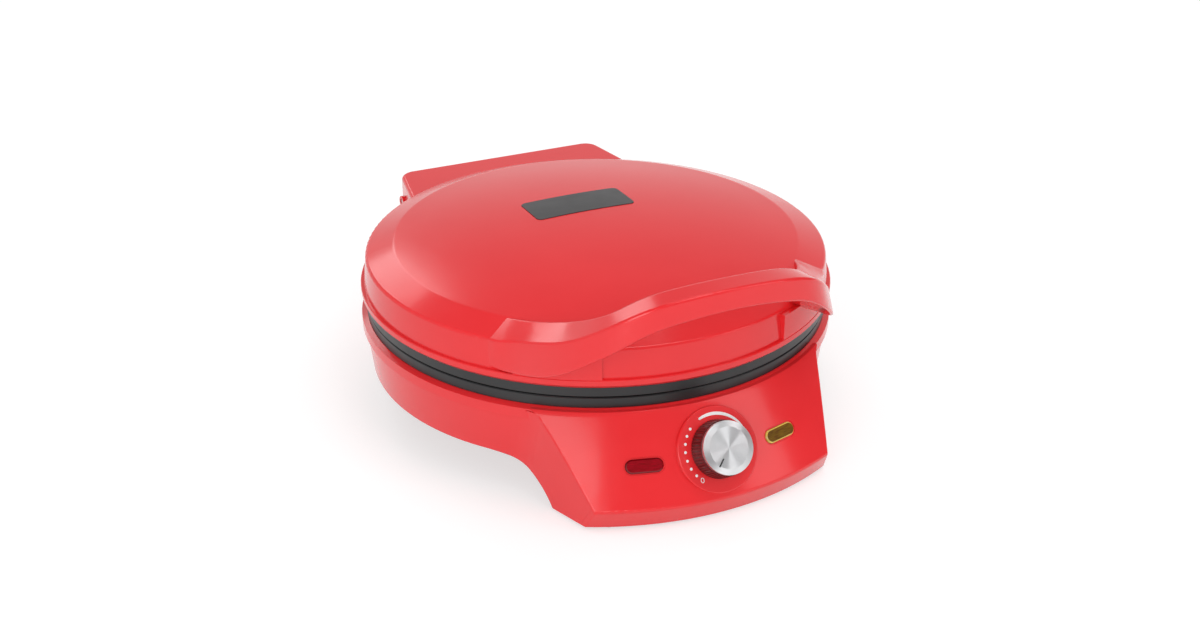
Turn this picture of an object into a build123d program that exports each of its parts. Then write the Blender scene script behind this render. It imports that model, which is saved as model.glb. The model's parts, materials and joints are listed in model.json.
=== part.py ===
from build123d import *
from math import asin, atan2, cos, degrees, pi, radians, sin, sqrt, tan
import os

# Electric pizza maker: a round two-plate baker with a hinged lid.
# Millimetres. Origin on the worktop under the centre of the baking plates,
# +X to the right, -Y to the front (panel and handle), +Z up.

os.makedirs("parts", exist_ok=True)

# Heights, stacked from the worktop up
foot_proud = 2.0           # rubber feet stand this far below the two plastic legs
belly_clearance = 28.5     # worktop to the lower edge of the bowl's wall
bowl_height = 42.1         # bowl's lower edge to the top of its lip
lower_rim_height = 7.5     # black rim of the lower plate
plate_gap = 0.9            # dark line between the two plates
upper_rim_height = 7.4     # black rim of the upper plate
flange_height = 6.3        # red bead under the cap
cap_wall_height = 20.3
bevel_rise = 7.4
dome_rise = 12.1

leg_z = foot_proud
belly_z = belly_clearance
lip_z = belly_z + bowl_height
lower_rim_z = lip_z + lower_rim_height
upper_rim_z = lower_rim_z + plate_gap
seat_z = upper_rim_z + upper_rim_height
cap_z = seat_z + flange_height
rim_z = cap_z + cap_wall_height
disc_z = rim_z + bevel_rise
crown_z = disc_z + dome_rise

# Radii about the centre of the plates
rim_r = 165.0              # outer edge of the lid's bevel
bevel_width = 20.0
cap_flare = 2.1            # the cap's wall leans out by this much
flange_proud = 2.4
upper_plate_inset = 3.0    # upper plate's rim behind the bead
lower_plate_inset = 4.0    # lower plate's rim behind the lip
lip_proud = 0.5            # base lip beyond the lid's bead

disc_r = rim_r - bevel_width
cap_r = rim_r + cap_flare
flange_r = cap_r + flange_proud
upper_plate_r = flange_r - upper_plate_inset
lip_r = flange_r + lip_proud
lower_plate_r = lip_r - lower_plate_inset

# Plastic shells
wall = 2.5
slip = 0.2                 # clearance of a part that drops into a shell
shelf_width = 12.0         # ledge that carries a plate's rim, inwards from the rim

# Base bowl
lip_height = 7.0
lip_step = 2.1             # the wall is set back under the lip
lip_slope = 1.5
bowl_draft_deg = 6.8
bowl_edge_radius = 2.0     # soft lower edge of the bowl's wall
bowl_top_z = lip_z - lip_slope - lip_height
bowl_top_r = lip_r - lip_step

# Arched underside: flat belly, then an arc down to each leg
belly_half_length = 100.0
arch_radius = 56.0

# Front leg and its flared panel
panel_slope_deg = 34.0     # lean of the panel from upright
panel_top_drop = 3.1       # panel starts this far below the lip's top
panel_top_proud = 2.5      # and stands this far outside the lip
toe_height = 14.7          # undercut strip along the panel's lower edge
toe_undercut = 6.5
toe_half_width = 89.8      # half width of the leg at its front corners, on the worktop
side_taper_deg = 19.5      # each side wall closes in towards the front
side_edge_radius = 1.8
leg_blend_radius = 45.0    # hollow curve by which the bowl's wall runs into the leg's sides
crease_radius = 3.0
panel_wall = 2.5
groove = 0.6               # dark line between the lip and the panel
panel_top_z = lip_z - panel_top_drop
panel_top_r = lip_r + panel_top_proud
crease_z = leg_z + toe_height
crease_r = panel_top_r + (panel_top_z - crease_z) * tan(radians(panel_slope_deg))
toe_r = crease_r - toe_undercut
toe_corner_y = sqrt(toe_r**2 - toe_half_width**2)

# Rear leg
rear_overhang = 30.0       # rear face of the leg at its foot, behind the hinge axis
rear_leg_spread = 4.6      # each side of the leg at its foot, beyond the lid's hinge block
rear_taper_deg = 8.6       # the sides close in towards the rear
rear_draft_deg = 5.0
rear_corner_radius = 12.0
deck_drop = 2.0            # top of the rear leg below the lip
deck_z = lip_z - deck_drop

# Dial, knob and lamps on the panel
dial_height = 43.2         # centre of the dial above the worktop
dial_tilt_deg = 32.0
dial_proud = 1.6
dial_radius = 28.6
dial_edge_radius = 1.0
knob_radius = 19.4         # ribbed skirt at its foot
knob_taper = 1.3           # and how much narrower it is under its cap
knob_height = 16.2
knob_gap = 0.6
knob_ribs = 60
knob_cap_radius = 17.6
knob_cap_height = 4.0
knob_bevel = 4.0           # width of the cap's sloped ring
knob_bevel_drop = 1.1
pointer_angle_deg = 228.0  # knob's pointer, anticlockwise from the right, at rest on the nought
shaft_radius = 3.0
lamp_angle_deg = 15.2
lamp_height = 40.7
lens_length = 25.0
lens_width = 9.0
lens_frame = 1.2
lens_proud = 0.7

# Lid
bevel_edge_radius = 2.5
disc_edge_radius = 9.0
bead_height = 3.6
shelf_thickness = 2.5
tongue_height = 5.5
snap_lugs = 8
cheek_start_deg = 23.2     # blocks under the handle's ends, measured from the front
cheek_end_deg = 43.0
cheek_proud = 2.1
cheek_top_drop = 2.2

# Plates, elements and shields
plate_rim_width = 16.0     # flat ring of the lower plate and its recess's draft
lower_recess = 8.0
upper_recess = 10.0
plate_floor = 3.6
recess_draft = 2.0
rim_thickness = 3.2
tube_radius = 3.25
ring_inset = 45.0          # middle of the heating ring inside the recess's edge
lead_spread = 12.0
lead_bend = 12.0
lead_inset = 8.0
boss_inset = 22.0
boss_radius = 5.0
lower_boss_length = 13.5
upper_boss_length = 8.3
shield_thickness = 0.8
shield_inset = 4.0
shield_lip = 6.0

recess_r = lower_plate_r - plate_rim_width
ring_radius = recess_r - ring_inset
lead_reach = recess_r - lead_inset
boss_circle_r = recess_r - boss_inset
shield_radius = recess_r - shield_inset
lower_floor_z = lower_rim_z - lower_recess
lower_back_z = lower_floor_z - plate_floor
upper_floor_z = upper_rim_z + upper_recess
upper_back_z = upper_floor_z + plate_floor

# Rear hinge
hinge_back = 10.0          # hinge axis behind the lid's rim
hinge_drop = 20.0          # and below the rim's plane
open_angle_deg = 100.0
block_reach = 17.0         # rear face of the lid's hinge block behind the axis
block_top_drop = 1.5       # top of the block below the rim's plane
block_half_width = 83.4    # at the rear face
block_taper_deg = 9.5
block_corner_radius = 12.0
block_edge_radius = 3.0
block_skirt = 12.5         # height of the block's rear face
ear_inset = 3.4            # outer faces of the base's ears inside the block's rear corners
ear_width = 22.0
rest_rib_x = 40.0          # ribs that the open lid leans on
rest_rib_width = 5.0
ear_gap = 0.4
barrel_r = 11.0
neck_thickness = 11.0
cheek_r = 12.0
pin_r = 3.0
pin_play = 0.05
pin_boss_r = 5.0
pin_boss_proud = 2.6
hinge_y = rim_r + hinge_back
hinge_z = rim_z - hinge_drop
block_top_z = rim_z - block_top_drop
block_rear_y = hinge_y + block_reach
ear_outer_x = block_half_width - ear_inset
ear_inner_x = ear_outer_x - ear_width
rear_reach = hinge_y + rear_overhang
rear_half_width = block_half_width + rear_leg_spread

# Rubber feet, the cover's front lugs, its vents and the terminal block
foot_radius = 8.0
foot_inset = 18.0          # centre of a foot inside its leg's corner, sideways
front_foot_setback = 3.0   # and behind the front leg's corner
rear_foot_setback = 23.0   # and inside the rear leg's face
lug_inset = 31.8
lug_setback = 6.4
lug_length = 16.0
lug_width = 9.0
vent_length = 34.0
vent_width = 4.0
vent_pitch = 11.0
vent_row_pitch = 62.0
vents_per_row = 7
terminal_x = -50.0
terminal_y = 78.0
terminal_length = 34.0
terminal_width = 16.0
terminal_base = 9.0
terminal_rise = 4.0
terminal_pitch = 11.0

# Thermostat behind the dial
post_x = 21.0              # posts of its bracket, each side of the shaft
post_radius = 3.4
post_depth = 8.0
bracket_length = 52.0
bracket_width = 12.0
bracket_seat = 20.0
bracket_thickness = 1.2
thermostat_radius = 12.5
thermostat_depth = 14.0
thermostat_neck = 5.0

# Screws
screw_r = 1.25
pilot_r = 1.3
clear_r = 1.7
head_r = 2.8
head_height = 1.8

# Handle stations from the middle of the bar to where it dies into the cap's wall.
# Each gives its angle from the front, then the offsets of four corners from the lid's
# rim, outward and upward: inner top, outer top, outer bottom, inner bottom.
handle_stations = (
    (0.0, (23.0, 53.8), (40.5, 53.4), (41.5, 38.7), (24.5, 39.7)),
    (9.0, (23.0, 52.0), (40.5, 51.3), (41.5, 35.7), (24.5, 36.7)),
    (17.0, (23.0, 45.4), (40.0, 44.2), (42.2, 27.2), (24.5, 28.5)),
    (21.0, (21.5, 38.2), (37.0, 36.4), (40.6, 18.1), (22.0, 19.5)),
    (25.0, (14.0, 29.5), (31.0, 27.0), (36.0, 8.7), (8.0, 9.0)),
    (30.0, (0.0, 19.8), (23.0, 17.0), (28.6, -3.2), (-8.0, -3.0)),
    (37.0, (-10.0, 13.3), (10.8, 8.0), (16.0, -14.8), (-16.0, -13.0)),
    (44.0, (-16.5, 9.8), (2.8, 2.2), (5.5, -19.8), (-20.0, -17.0)),
    (50.0, (-20.5, 7.0), (-0.6, -0.5), (1.4, -20.1), (-22.0, -18.0)),
)
handle_edge_radius = 1.8

# Liner that closes the underside of the handle's bar
liner_half_length = 52.0
liner_inner = 27.5         # inner edge of its channel outside the lid's rim
liner_width = 11.5
liner_depth = 3.6
liner_middle_rise = 39.2   # underside of the bar above the rim's plane, in the middle
liner_end_rise = 30.3      # and at the liner's ends
liner_screw_x = 38.0


def upright(angle_deg):
    """Upright plane through the lid's axis: its x runs outward and its y runs up."""
    turn = radians(angle_deg)
    outward = Vector(sin(turn), -cos(turn), 0)
    return Plane(origin=(0, 0, 0), x_dir=outward, z_dir=outward.cross(Vector(0, 0, 1)))


def across(x=0.0):
    """Plane that faces +X: its x runs to the rear and its y runs up."""
    return Plane(origin=(x, 0, 0), x_dir=(0, 1, 0), z_dir=(1, 0, 0))


def ring_points(radius, angles):
    """Points around the lid's axis at angles measured from the front."""
    return [(radius * sin(radians(a)), -radius * cos(radians(a))) for a in angles]


def screw(place, length, head=head_r, countersunk=False):
    """Screw whose head's outer face lies in the plane; its shank runs against the normal."""
    with BuildPart() as made:
        with BuildSketch(place):
            Circle(head)
        extrude(amount=-head_height, taper=30 if countersunk else 0)
        with BuildSketch(place):
            Circle(screw_r)
        extrude(amount=-length)
        with BuildSketch(place):
            Rectangle(head * 1.2, 0.6)
            Rectangle(0.6, head * 1.2)
        extrude(amount=-0.8, mode=Mode.SUBTRACT)
    return made.part


def under_region(lift):
    """All space below the arched underside, with the arch raised by lift."""
    floor = leg_z + lift
    centre_z = belly_z - arch_radius
    radius = arch_radius + lift
    foot_angle = asin((floor - centre_z) / radius)
    mid_angle = (foot_angle + pi / 2) / 2
    foot_y = belly_half_length + radius * cos(foot_angle)
    mid_y = belly_half_length + radius * cos(mid_angle)
    mid_z = centre_z + radius * sin(mid_angle)
    top = belly_z + lift
    far = rear_reach + 60
    with BuildPart() as region:
        with BuildSketch(across()):
            with BuildLine():
                Polyline((-foot_y, floor), (-far, floor), (-far, -30), (far, -30), (far, floor), (foot_y, floor))
                ThreePointArc((foot_y, floor), (mid_y, mid_z), (belly_half_length, top))
                Line((belly_half_length, top), (-belly_half_length, top))
                ThreePointArc((-belly_half_length, top), (-mid_y, mid_z), (-foot_y, floor))
            make_face()
        extrude(amount=rear_reach, both=True)
    return region.part


def bowl_body(inset, top):
    """Round body of the base, its wall moved in by inset and carried down to the worktop."""
    draft = tan(radians(bowl_draft_deg))
    foot = -20
    with BuildPart() as body:
        with BuildSketch(Plane.XZ):
            with BuildLine():
                foot_r = bowl_top_r - inset - (bowl_top_z - foot) * draft
                Polyline((0, foot), (foot_r, foot), (bowl_top_r - inset, bowl_top_z), (bowl_top_r - inset, top),
                         (0, top), close=True)
            make_face()
        revolve(axis=Axis.Z)
    return body.part


def flare_profile_radii(inset):
    """Straight lines of the flared front moved in by inset: radius at a height, and their crease."""
    slope = tan(radians(panel_slope_deg))
    toe_slope = toe_undercut / toe_height
    cone_top = panel_top_r - inset / cos(radians(panel_slope_deg))
    toe_foot = toe_r - inset * sqrt(1 + toe_slope**2)
    meet_z = (cone_top - toe_foot + panel_top_z * slope + leg_z * toe_slope) / (slope + toe_slope)
    return slope, toe_slope, cone_top, toe_foot, meet_z


def flare_body(inset):
    """Body of revolution whose outside is the flared panel and its undercut toe."""
    slope, toe_slope, cone_top, toe_foot, meet_z = flare_profile_radii(inset)
    low, high = leg_z - 8, lip_z
    with BuildPart() as body:
        with BuildSketch(Plane.XZ) as profile:
            with BuildLine():
                Polyline((0, low), (toe_foot + (low - leg_z) * toe_slope, low),
                         (cone_top + (panel_top_z - meet_z) * slope, meet_z),
                         (cone_top + (panel_top_z - high) * slope, high), (0, high), close=True)
            make_face()
            if inset == 0:
                crease = profile.vertices().sort_by(Axis.X)[-1]
                fillet(crease, radius=crease_radius)
        revolve(axis=Axis.Z)
    return body.part


def front_wedge(inset, bottom, top):
    """Prism between the front leg's two side walls, moved in by inset."""
    near, far = 60.0, panel_top_r + 60
    taper = tan(radians(side_taper_deg))
    side = inset / cos(radians(side_taper_deg))

    def half(y):
        return toe_half_width + (toe_corner_y - y) * taper - side

    with BuildPart() as prism:
        with BuildSketch(Plane.XY.offset(bottom)):
            with BuildLine():
                Polyline((half(near), -near), (half(far), -far), (-half(far), -far), (-half(near), -near), close=True)
            make_face()
        extrude(amount=top - bottom)
    return prism.part


def leg_outline(grow, foot, top):
    """Bowl's cone and the front leg's side walls, moved out by grow, with a hollow curve between them."""
    draft = tan(radians(bowl_draft_deg))
    with BuildPart() as body:
        with BuildSketch(Plane.XZ):
            with BuildLine():
                Polyline((0, foot), (bowl_top_r - (bowl_top_z - foot) * draft, foot),
                         (bowl_top_r - (bowl_top_z - top) * draft, top), (0, top), close=True)
            make_face()
        revolve(axis=Axis.Z)
        add(front_wedge(-grow, foot, top))
        corners = body.edges().filter_by(
            lambda e: e.length > top / 2 and abs(e.center().X) > toe_half_width and abs(e.center().Y) < toe_corner_y
            and e.center().Y < 0 and e.geom_type not in (GeomType.CIRCLE, GeomType.LINE))
        fillet(corners, radius=leg_blend_radius)
    return body.part


def rear_body(inset, top):
    """Rear leg, drafted so that it narrows upwards, moved in by inset."""
    near = 100.0
    spread = (rear_reach - near) * tan(radians(rear_taper_deg))
    with BuildPart() as body:
        with BuildSketch(Plane.XY.offset(leg_z)) as plan:
            with BuildLine():
                Polyline((rear_half_width + spread, near), (rear_half_width, rear_reach),
                         (-rear_half_width, rear_reach), (-rear_half_width - spread, near), close=True)
            make_face()
            fillet(plan.vertices().group_by(Axis.Y)[-1], radius=rear_corner_radius)
            if inset:
                offset(amount=-inset)
        extrude(amount=top - leg_z, taper=rear_draft_deg)
        if inset:
            extrude(plan.sketch, amount=-leg_z - 8)
    return body.part


# Planes of the dial and of the two lamps on the panel's cone
def cone_radius(z):
    return panel_top_r + (panel_top_z - z) * tan(radians(panel_slope_deg))


dial_normal = Vector(0, -cos(radians(dial_tilt_deg)), sin(radians(dial_tilt_deg)))
dial_centre = Vector(0, -cone_radius(dial_height), dial_height) + dial_normal * dial_proud
dial_plane = Plane(origin=dial_centre, x_dir=(1, 0, 0), z_dir=dial_normal)


def lamp_plane(side):
    """Plane that touches the panel at a lamp, side -1 on the left and 1 on the right."""
    turn = radians(side * lamp_angle_deg)
    lean = radians(panel_slope_deg)
    radius = cone_radius(lamp_height)
    return Plane(origin=(radius * sin(turn), -radius * cos(turn), lamp_height), x_dir=(cos(turn), sin(turn), 0),
                 z_dir=(sin(turn) * cos(lean), -cos(turn) * cos(lean), sin(lean)))


lamp_planes = [lamp_plane(-1), lamp_plane(1)]
pillar_points = ring_points(boss_circle_r, (45, 135, 225, 315))
front_foot_x, front_foot_y = toe_half_width - foot_inset, front_foot_setback - toe_corner_y
rear_foot_x, rear_foot_y = rear_half_width - foot_inset, rear_reach - rear_foot_setback
front_foot_points = [(-front_foot_x, front_foot_y), (front_foot_x, front_foot_y)]
rear_foot_points = [(-rear_foot_x, rear_foot_y), (rear_foot_x, rear_foot_y)]
lug_x = toe_half_width - lug_inset
lug_y = -sqrt((toe_r - lug_setback) ** 2 - lug_x**2)
lug_points = [(-lug_x, lug_y), (lug_x, lug_y)]
lower_shield_z = lower_back_z - lower_boss_length - shield_thickness
shelf_r = lower_plate_r - shelf_width

gland_height = 20.0
gland_x = -45.0
gland_bore = 3.6
gland_body_r = 6.0
gland_tilt = radians(rear_draft_deg)
gland_y = rear_reach - (gland_height - leg_z) * tan(gland_tilt)
gland_plane = Plane(origin=(gland_x, gland_y, gland_height), x_dir=(-1, 0, 0),
                    z_dir=(0, cos(gland_tilt), sin(gland_tilt)))

# Base shell: bowl, lip, leg sides, rear leg with its deck and the hinge ears
open_turn = radians(open_angle_deg)
stop_gap = 0.25


def opened(back, up):
    """Where a point of the lid, given back and up from the hinge axis, lies when the lid is open."""
    return (hinge_y + back * cos(open_turn) + up * sin(open_turn),
            hinge_z - back * sin(open_turn) + up * cos(open_turn))


with BuildPart() as bowl:
    add(leg_outline(0, -20, panel_top_z).intersect(flare_body(panel_wall)))
    add(under_region(0), mode=Mode.SUBTRACT)
    lower_edges = bowl.edges().filter_by(
        lambda e: e.geom_type != GeomType.LINE and leg_z + 1 < e.center().Z < belly_z + 1)
    fillet(lower_edges, radius=bowl_edge_radius)

with BuildPart() as base_shell:
    add(bowl.part)
    add(bowl_body(0, lip_z - wall).cut(under_region(bowl_edge_radius * 2)))
    with BuildSketch(Plane.XZ):
        with BuildLine():
            Polyline((0, bowl_top_z), (lip_r, bowl_top_z), (lip_r, lip_z - lip_slope), (lower_plate_r, lip_z),
                     (0, lip_z), close=True)
        make_face()
    revolve(axis=Axis.Z)
    add(rear_body(0, deck_z))
    add(under_region(0), mode=Mode.SUBTRACT)
    # hollow inside, open below and towards the panel
    add(bowl_body(wall, lip_z - wall), mode=Mode.SUBTRACT)
    add(front_wedge(wall, leg_z - 8, bowl_top_z - wall * 2), mode=Mode.SUBTRACT)
    add(rear_body(wall, deck_z - wall), mode=Mode.SUBTRACT)
    with BuildSketch(Plane.XY.offset(lip_z)):
        Circle(shelf_r)
    extrude(amount=-wall * 2, mode=Mode.SUBTRACT)
    # room for the panel and the thin groove above it
    panel_zone = leg_outline(groove, leg_z - 8, panel_top_z + groove).cut(flare_body(panel_wall))
    add(panel_zone, mode=Mode.SUBTRACT)
    # hinge ears
    for side_x in (-ear_outer_x, ear_inner_x):
        with BuildSketch(across(side_x)):
            with Locations((hinge_y, hinge_z)):
                Circle(barrel_r)
            with Locations((hinge_y - barrel_r - 1, deck_z - 1)):
                Rectangle(neck_thickness, hinge_z - deck_z + 1, align=(Align.MIN, Align.MIN))
        extrude(amount=ear_width)
    # ribs that the open lid rests on
    for side_x in (-rest_rib_x - rest_rib_width / 2, rest_rib_x - rest_rib_width / 2):
        with BuildSketch(across(side_x)):
            with BuildLine():
                front_top = opened(block_reach + stop_gap, 6.5)
                rear_top = opened(block_reach + stop_gap, 15.0)
                Polyline((front_top[0], deck_z - 1), front_top, rear_top, (rear_top[0], deck_z - 1), close=True)
            make_face()
        extrude(amount=rest_rib_width)
    with BuildSketch(across(-ear_outer_x - 1)):
        with Locations((hinge_y, hinge_z)):
            Circle(pin_r + pin_play)
    extrude(amount=2 * ear_outer_x + 2, mode=Mode.SUBTRACT)
    with BuildSketch(gland_plane.offset(4)):
        Circle(gland_body_r + slip / 2)
    extrude(amount=-12, mode=Mode.SUBTRACT)
base_shell.part.label = "base_shell"
export_step(base_shell.part, "parts/base_shell.step")

with BuildPart() as lug_blocks:
    with BuildSketch(Plane.XY.offset(leg_z + wall)):
        with Locations(*lug_points):
            Rectangle(lug_width, lug_length)
    extrude(amount=9)
panel_lugs = lug_blocks.part.intersect(flare_body(panel_wall / 2))

# Front panel: flared cone with an undercut toe, a flat dial boss and two lamp windows
with BuildPart() as front_panel:
    add(flare_body(0))
    add(leg_outline(0, leg_z, panel_top_z), mode=Mode.INTERSECT)
    sloped_face = front_panel.faces().filter_by(GeomType.CONE).filter_by(
        lambda f: f.center().Y < -panel_top_r and f.center().Z > crease_z)[0]
    side_edges = sloped_face.edges().filter_by(lambda e: abs(e.center().X) > toe_half_width - 15)
    fillet(side_edges, radius=side_edge_radius)
    add(flare_body(panel_wall), mode=Mode.SUBTRACT)
    with BuildSketch(dial_plane.offset(-4)):
        Circle(dial_radius)
    extrude(amount=4)
    rim_edge = front_panel.edges().filter_by(GeomType.CIRCLE).filter_by(
        lambda e: abs(e.radius - dial_radius) < 0.01).sort_by(lambda e: -(e.center() - dial_centre).dot(dial_normal))
    fillet(rim_edge[0], radius=dial_edge_radius)
    # posts for the thermostat's bracket
    with BuildSketch(dial_plane.offset(-post_depth)):
        with Locations((-post_x, 0), (post_x, 0)):
            Circle(post_radius)
    extrude(amount=5)
    with BuildSketch(dial_plane.offset(-post_depth)):
        with Locations((-post_x, 0), (post_x, 0)):
            Circle(pilot_r)
    extrude(amount=4.6, mode=Mode.SUBTRACT)
    with BuildSketch(dial_plane):
        Circle(shaft_radius + 0.8)
    extrude(amount=-12, mode=Mode.SUBTRACT)
    for place in lamp_planes:
        with BuildSketch(place.offset(3)):
            SlotOverall(lens_length + 0.3, lens_width + 0.3)
        extrude(amount=-8, mode=Mode.SUBTRACT)
        with BuildSketch(place.offset(3)):
            SlotOverall(lens_length + 2 * lens_frame, lens_width + 2 * lens_frame)
        extrude(amount=-3.9, mode=Mode.SUBTRACT)
    # lugs that the cover's front screws enter
    add(panel_lugs)
    with BuildSketch(Plane.XY.offset(leg_z + wall)):
        with Locations(*lug_points):
            Circle(pilot_r)
    extrude(amount=8, mode=Mode.SUBTRACT)
front_panel.part.label = "front_panel"
export_step(front_panel.part, "parts/front_panel.step")

# Bottom cover: follows the arch, with vents, pillars and holes for the feet
with BuildPart() as bottom_cover:
    add(bowl_body(wall + slip, lip_z - wall))
    inner_front = front_wedge(wall + slip, leg_z - 8, belly_z + 9).intersect(flare_body(panel_wall + slip))
    add(inner_front)
    add(rear_body(wall + slip, belly_z + 9))
    add(under_region(wall), mode=Mode.INTERSECT)
    add(under_region(0), mode=Mode.SUBTRACT)
    with BuildSketch(Plane.XY.offset(belly_z + wall / 2)):
        with Locations(*pillar_points):
            Circle(boss_radius)
    extrude(amount=lower_shield_z - belly_z - wall / 2)
    with BuildSketch(Plane.XY.offset(belly_z)):
        with Locations(*pillar_points):
            Circle(head_r + 0.5)
    extrude(amount=6, mode=Mode.SUBTRACT)
    with BuildSketch(Plane.XY.offset(belly_z)):
        with Locations(*pillar_points):
            Circle(clear_r)
    extrude(amount=lower_shield_z - belly_z, mode=Mode.SUBTRACT)
    with BuildSketch(Plane.XY.offset(belly_z - 1)):
        with GridLocations(vent_pitch, vent_row_pitch, vents_per_row, 2):
            SlotOverall(vent_length, vent_width, rotation=90)
    extrude(amount=wall + 2, mode=Mode.SUBTRACT)
    with BuildSketch(Plane.XY.offset(leg_z - 1)):
        with Locations(*front_foot_points, *rear_foot_points):
            Circle(3.1)
        with Locations(*lug_points):
            Circle(clear_r)
    extrude(amount=wall + 2, mode=Mode.SUBTRACT)
    with BuildSketch(Plane.XY.offset(leg_z)):
        with Locations(*lug_points):
            Circle(head_r + 0.3)
    extrude(amount=head_height, mode=Mode.SUBTRACT)
bottom_cover.part.label = "bottom_cover"
export_step(bottom_cover.part, "parts/bottom_cover.step")


def handle_section(station, angle_deg):
    """Rounded four-cornered section of the handle at one angle from the front."""
    corners = [(rim_r + out, rim_z + up) for out, up in station[1:]]
    with BuildSketch(upright(angle_deg)) as section:
        with BuildLine():
            Polyline(*corners, close=True)
        make_face()
        fillet(section.vertices(), radius=handle_edge_radius)
    return section.sketch


def dome_body(inset):
    """Lid cap without its handle: domed disc, sloped bevel ring and flared wall, moved in by inset."""
    dome_radius = (disc_r**2 + dome_rise**2) / (2 * dome_rise)
    with BuildPart() as body:
        with BuildSketch(Plane.XZ) as profile:
            top = (0, crown_z - inset)
            disc_edge = (disc_r - inset * 0.3, disc_z - inset)
            rim = (rim_r - inset, rim_z - inset * 0.6)
            foot = (cap_r - inset, cap_z)
            with BuildLine():
                RadiusArc(top, disc_edge, dome_radius)
                Polyline(disc_edge, rim, foot, (0, cap_z), top)
            make_face()
            if inset == 0:
                corners = profile.vertices().sort_by(Axis.X)
                fillet(corners[-3], radius=disc_edge_radius)
                rim_corner = profile.vertices().group_by(Axis.X)[-2].sort_by(Axis.Y)[-1]
                fillet(rim_corner, radius=bevel_edge_radius)
        revolve(axis=Axis.Z)
    return body.part


def dome_layer(low, high):
    """Skin that follows the dome of the disc, between two heights over its surface."""
    dome_radius = (disc_r**2 + dome_rise**2) / (2 * dome_rise)
    centre_z = crown_z - dome_radius
    with BuildPart() as layer:
        with BuildSketch(Plane.XZ):
            with BuildLine():
                low_radius, high_radius = dome_radius + low, dome_radius + high
                reach = disc_r - 30
                low_edge = (reach, centre_z + sqrt(low_radius**2 - reach**2))
                high_edge = (reach, centre_z + sqrt(high_radius**2 - reach**2))
                RadiusArc((0, crown_z + low), low_edge, low_radius)
                Line(low_edge, high_edge)
                RadiusArc((0, crown_z + high), high_edge, high_radius)
                Line((0, crown_z + high), (0, crown_z + low))
            make_face()
        revolve(axis=Axis.Z)
    return layer.part


def liner_space(clear):
    """Channel under the handle's bar that the liner fills, smaller all round by clear."""
    half = liner_half_length - clear
    inner = rim_r + liner_inner + clear
    outer = rim_r + liner_inner + liner_width - clear
    middle = rim_z + liner_middle_rise + liner_depth
    end = rim_z + liner_end_rise + liner_depth
    with BuildPart() as space:
        with BuildSketch(Plane.XZ):
            with BuildLine():
                ThreePointArc((-half, end), (0, middle), (half, end))
                Polyline((half, end), (half, rim_z), (-half, rim_z), (-half, end))
            make_face()
        extrude(amount=rim_r + 60)
        with BuildSketch(Plane.XY.offset(rim_z)):
            Circle(outer)
            Circle(inner, mode=Mode.SUBTRACT)
        extrude(amount=60, mode=Mode.INTERSECT)
    return space.part


# Handle arch: one smooth loft from wall to wall
left_to_right = [-station[0] for station in handle_stations[:0:-1]]
left_to_right += [station[0] for station in handle_stations]
by_angle = {station[0]: station for station in handle_stations}
with BuildPart() as handle_arch:
    loft([handle_section(by_angle[abs(angle)], angle) for angle in left_to_right])

# Hinge block of the cap: plan outline cut to its side view
block_low_z = hinge_z - cheek_r
block_front_y = rim_r - 45
block_front_half = block_half_width + (block_rear_y - block_front_y) * tan(radians(block_taper_deg))
with BuildPart() as hinge_block:
    with BuildSketch(Plane.XY.offset(block_low_z)) as block_plan:
        with BuildLine():
            Polyline((-block_front_half, block_front_y), (-block_half_width, block_rear_y),
                     (block_half_width, block_rear_y), (block_front_half, block_front_y), close=True)
        make_face()
        fillet(block_plan.vertices().group_by(Axis.Y)[-1], radius=block_corner_radius)
    extrude(amount=block_top_z - block_low_z)
    top_edges = hinge_block.edges().group_by(Axis.Z)[-1].filter_by(lambda e: e.center().Y > block_front_y + 5)
    fillet(top_edges, radius=block_edge_radius)
    with BuildSketch(across()) as block_side:
        with Locations((block_front_y, cap_z)):
            Rectangle(hinge_y + cheek_r - block_front_y, block_top_z - cap_z, align=(Align.MIN, Align.MIN))
        with Locations((hinge_y, block_top_z - block_skirt)):
            Rectangle(block_reach, block_skirt, align=(Align.MIN, Align.MIN))
        with Locations((hinge_y, hinge_z)):
            Circle(cheek_r)
    extrude(amount=block_front_half + 5, both=True, mode=Mode.INTERSECT)
    # pin bosses on both sides
    for side in (-1, 1):
        with BuildSketch(across(side * (ear_outer_x + 3))):
            with Locations((hinge_y, hinge_z)):
                Circle(pin_boss_r)
        boss_x = block_half_width + (block_rear_y - hinge_y) * tan(radians(block_taper_deg)) + pin_boss_proud
        extrude(amount=side * (boss_x - ear_outer_x - 3))
pin_end_x = boss_x - 0.6
pocket_half = ear_outer_x + ear_gap
pocket_top_z = block_top_z - wall
pocket_rear_y = block_rear_y - wall
tab_x = 30.0
plate_screw_points = ring_points(upper_plate_r - 8.3, (0, 60, 120, 180, 240, 300))
liner_drop = (liner_middle_rise - liner_end_rise) * (liner_screw_x / liner_half_length) ** 2
liner_head_z = rim_z + liner_middle_rise - liner_drop + 0.5
liner_screw_y = sqrt((rim_r + liner_inner + liner_width / 2) ** 2 - liner_screw_x**2)
tab_top_z = seat_z + shelf_thickness
name_half_x, name_front_y, name_depth = 38.5, 14.0, 35.0
name_thickness, name_recess, name_corner = 0.9, 0.4, 4.0
name_centre = (0, name_front_y + name_depth / 2)

with BuildPart() as name_space:
    with BuildSketch(Plane.XY.offset(disc_z)):
        with Locations(name_centre):
            RectangleRounded(2 * name_half_x + 0.3, name_depth + 0.3, name_corner)
    extrude(amount=dome_rise + 5)
name_hollow = name_space.part.intersect(dome_layer(-name_recess, 5))

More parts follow.
